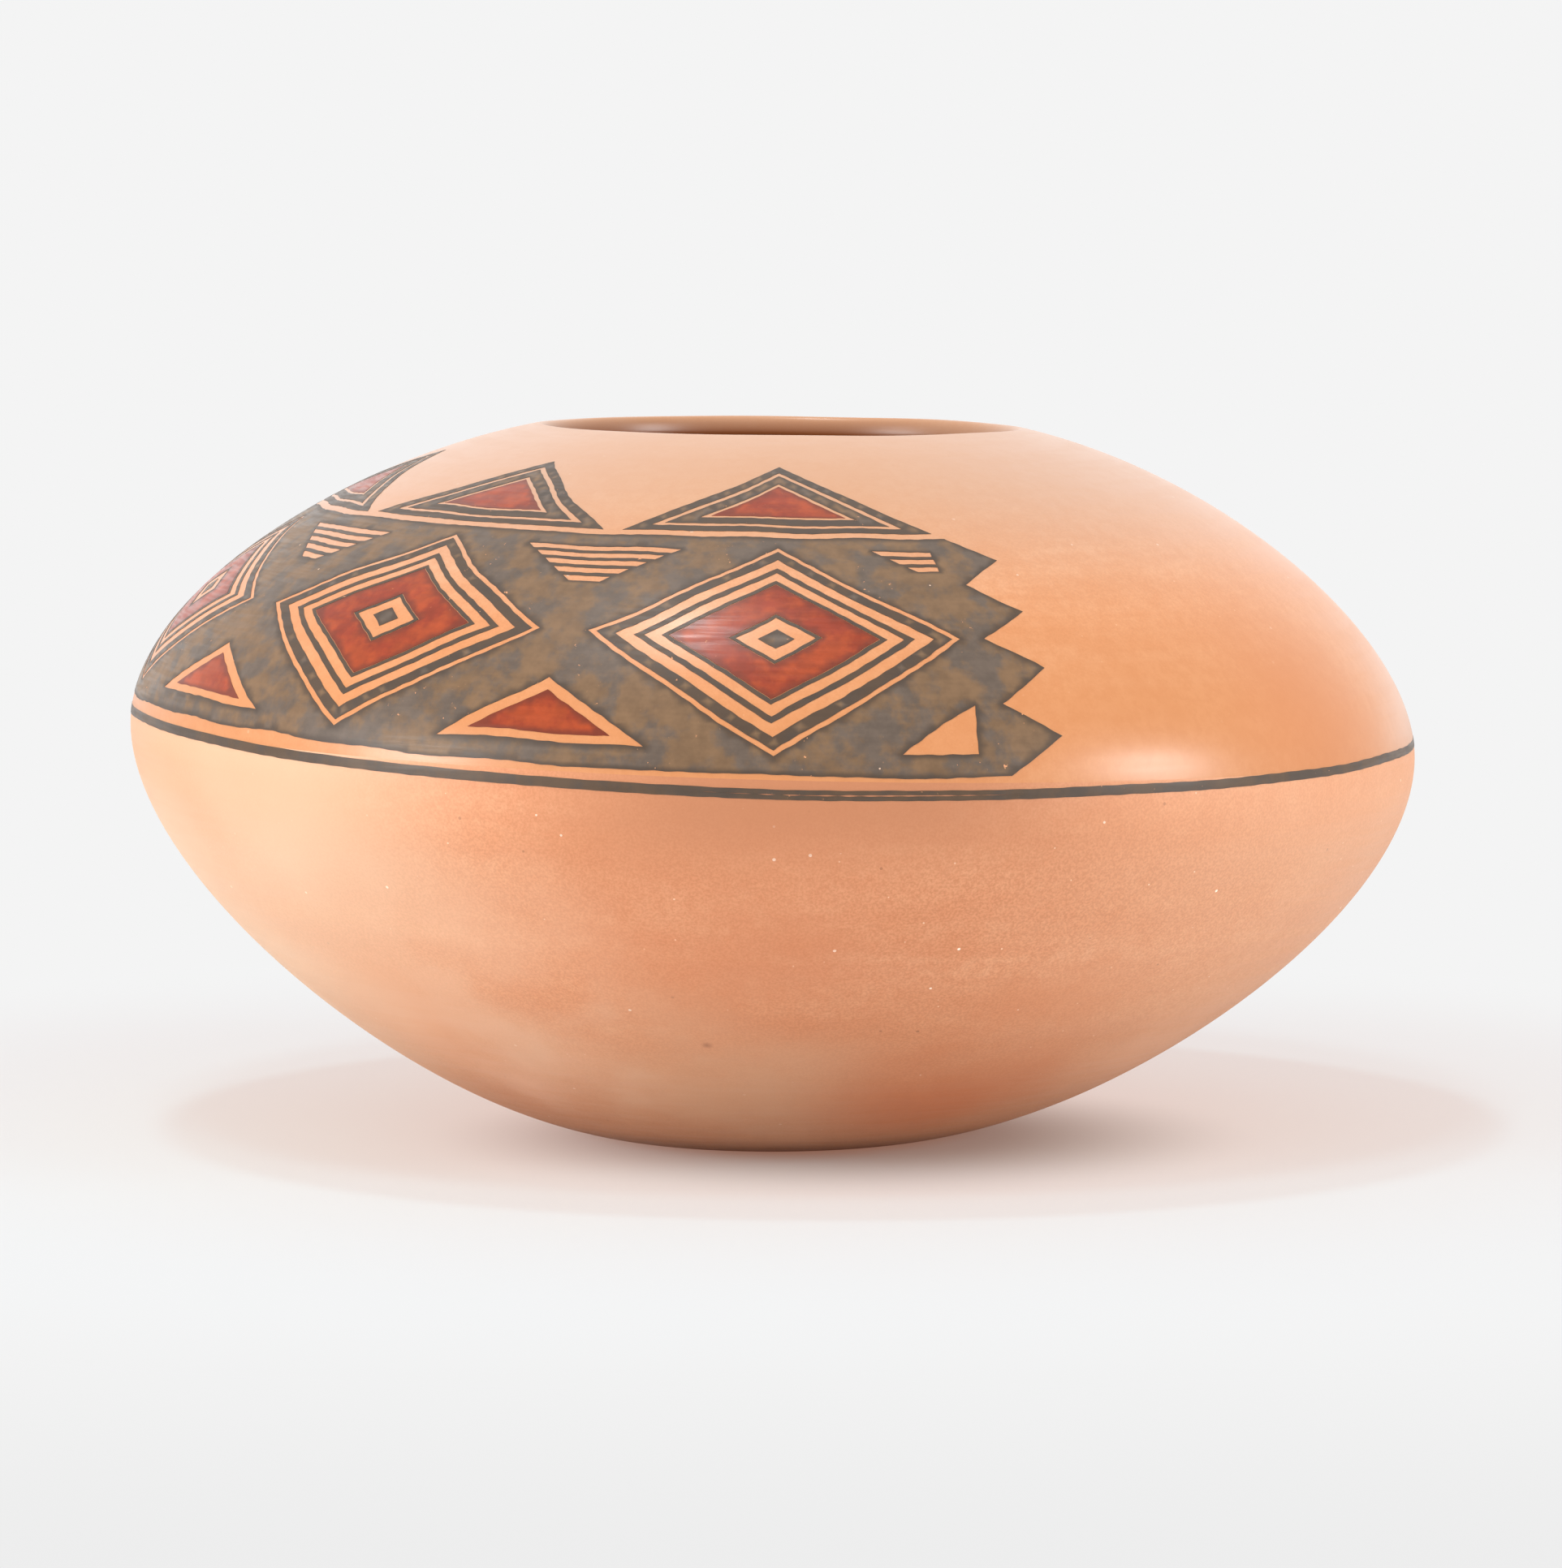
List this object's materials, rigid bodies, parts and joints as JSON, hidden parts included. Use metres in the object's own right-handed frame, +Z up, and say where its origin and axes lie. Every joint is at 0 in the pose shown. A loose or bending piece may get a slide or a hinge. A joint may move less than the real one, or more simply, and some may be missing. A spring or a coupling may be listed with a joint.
{
  "type": "painted pottery jar",
  "caption": "Low, wide-shouldered coil-built clay jar with a drawn-in mouth, a small flat base and painted panels over a framing line.",
  "frame": {"origin": "middle of the flat that the jar rests on, at the table", "axes": "+Z up through the mouth; +X toward the side where the widest line dips; -Y toward the front painted panel"},
  "size_m": [0.2542, 0.2542, 0.1405],
  "materials": {
    "clay_lower": "matte",
    "clay_shoulder": "satin",
    "dark_paint": "matte",
    "red_paint": "satin"
  },
  "bodies": {
    "root": {"base_disc": "clay_lower", "lower_coil_1": "clay_lower", "lower_coil_2": "clay_lower", "lower_coil_3": "clay_lower", "lower_coil_4": "clay_lower", "shoulder_coil_1": "clay_shoulder", "shoulder_coil_2": "clay_shoulder", "shoulder_coil_3": "clay_shoulder", "shoulder_coil_4": "clay_shoulder", "rim_coil": "clay_shoulder", "framing_line": "dark_paint", "front_dark_panel": "dark_paint", "back_dark_panel": "dark_paint", "front_red_diamond_1": "red_paint", "front_red_diamond_2": "red_paint", "front_red_diamond_3": "red_paint", "back_red_diamond_1": "red_paint", "back_red_diamond_2": "red_paint", "back_red_diamond_3": "red_paint"}
  },
  "joints": []
}
